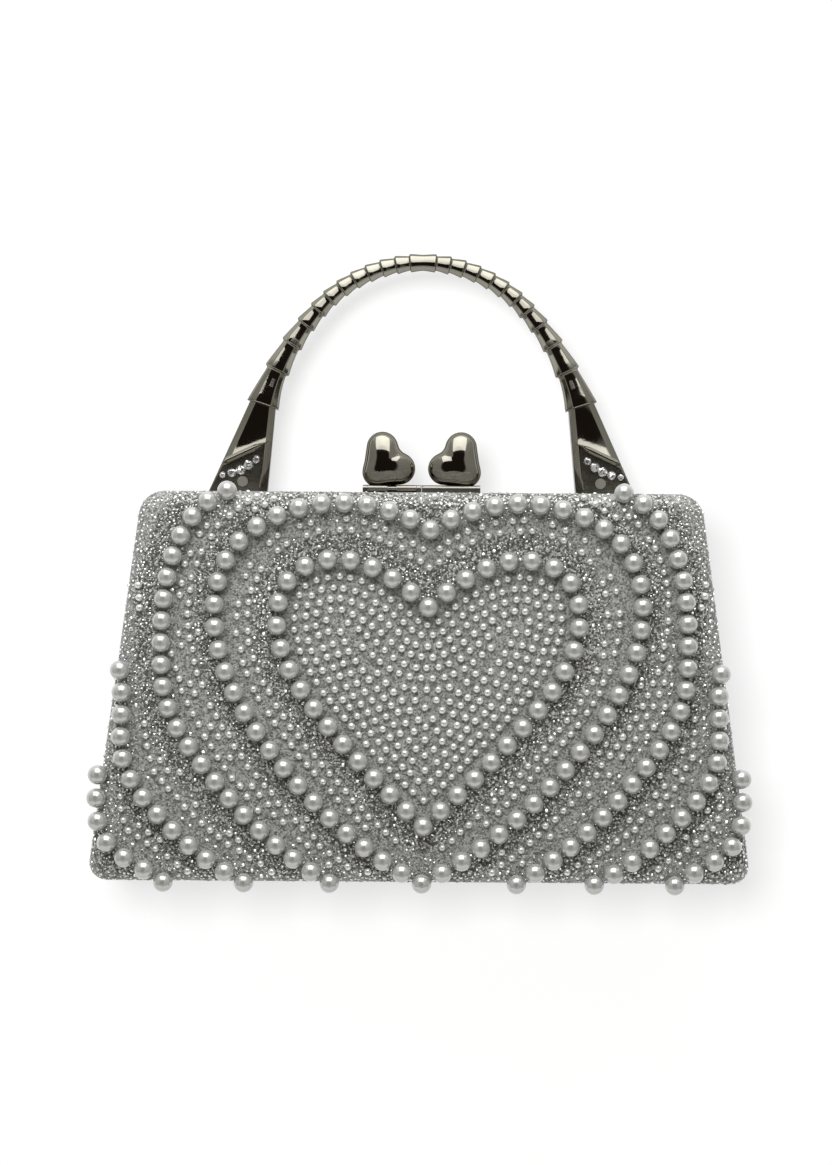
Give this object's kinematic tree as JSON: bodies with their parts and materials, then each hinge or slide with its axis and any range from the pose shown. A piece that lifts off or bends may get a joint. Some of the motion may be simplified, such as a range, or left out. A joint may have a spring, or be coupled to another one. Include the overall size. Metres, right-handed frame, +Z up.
{
  "type": "hard evening purse",
  "caption": "Trapezoid hard-shell evening purse covered in beads and pearl hearts, opening on bottom hinges, with an arched segmented metal handle and a heart clasp on top.",
  "frame": {"origin": "under the middle of the closed purse, on the surface its bottom pearls stand on", "axes": "+X to the right as seen from the front, +Y from the front face to the back, +Z up"},
  "size_m": [0.2014, 0.0672, 0.1976],
  "materials": {
    "beaded_cover": "silver-grey fine bead grit with small pearls and stones",
    "pearl": "pearl lacquer, cool grey-white",
    "shell": "moulded, matt",
    "lining": "grey satin",
    "gunmetal": "polished gunmetal plate",
    "steel": "plain drawn",
    "stone": "cut clear stone"
  },
  "bodies": {
    "back_half": {"back_shell": "shell", "back_cover": "beaded_cover", "back_lining": "lining", "back_frame": "gunmetal", "back_inner_heart_pearls": "pearl", "back_outer_heart_pearls": "pearl", "back_third_row_pearls": "pearl", "back_fourth_row_pearls": "pearl", "back_corner_pearls": "pearl", "back_base_pearls": "pearl", "back_small_heart_pearls": "pearl", "hinge_pins": "steel", "handle": "gunmetal", "handle_lugs": "steel", "handle_rivets": "gunmetal", "left_handle_stones": "stone", "right_handle_stones": "stone", "right_clasp_bracket": "gunmetal", "right_clasp_pin": "steel", "right_clasp_spring": "steel"},
    "front_half": {"front_shell": "shell", "front_cover": "beaded_cover", "front_lining": "lining", "front_frame": "gunmetal", "front_inner_heart_pearls": "pearl", "front_outer_heart_pearls": "pearl", "front_third_row_pearls": "pearl", "front_fourth_row_pearls": "pearl", "front_corner_pearls": "pearl", "front_base_pearls": "pearl", "front_small_heart_pearls": "pearl", "left_clasp_bracket": "gunmetal", "left_clasp_pin": "steel", "left_clasp_spring": "steel"},
    "left_clasp": {"left_clasp_tongue": "gunmetal", "left_heart_knob": "gunmetal", "left_heart_stud": "steel"},
    "right_clasp": {"right_clasp_tongue": "gunmetal", "right_heart_knob": "gunmetal", "right_heart_stud": "steel"}
  },
  "joints": [
    {"name": "lid_hinge", "type": "hinge", "parent": "back_half", "child": "front_half", "pos_m": [0, 0, 0.003], "axis": [1, 0, 0], "range_deg": [0, 75]},
    {"name": "left_clasp_hinge", "type": "hinge", "parent": "front_half", "child": "left_clasp", "pos_m": [-0.00923, -0.0026, 0.12335], "axis": [1, 0, 0], "range_deg": [0, 12], "stiffness_Nm_per_rad": 0.02, "springref_deg": -5.73},
    {"name": "right_clasp_hinge", "type": "hinge", "parent": "back_half", "child": "right_clasp", "pos_m": [0.00923, 0.0026, 0.12335], "axis": [-1, 0, 0], "range_deg": [0, 12], "stiffness_Nm_per_rad": 0.02, "springref_deg": -5.73}
  ]
}
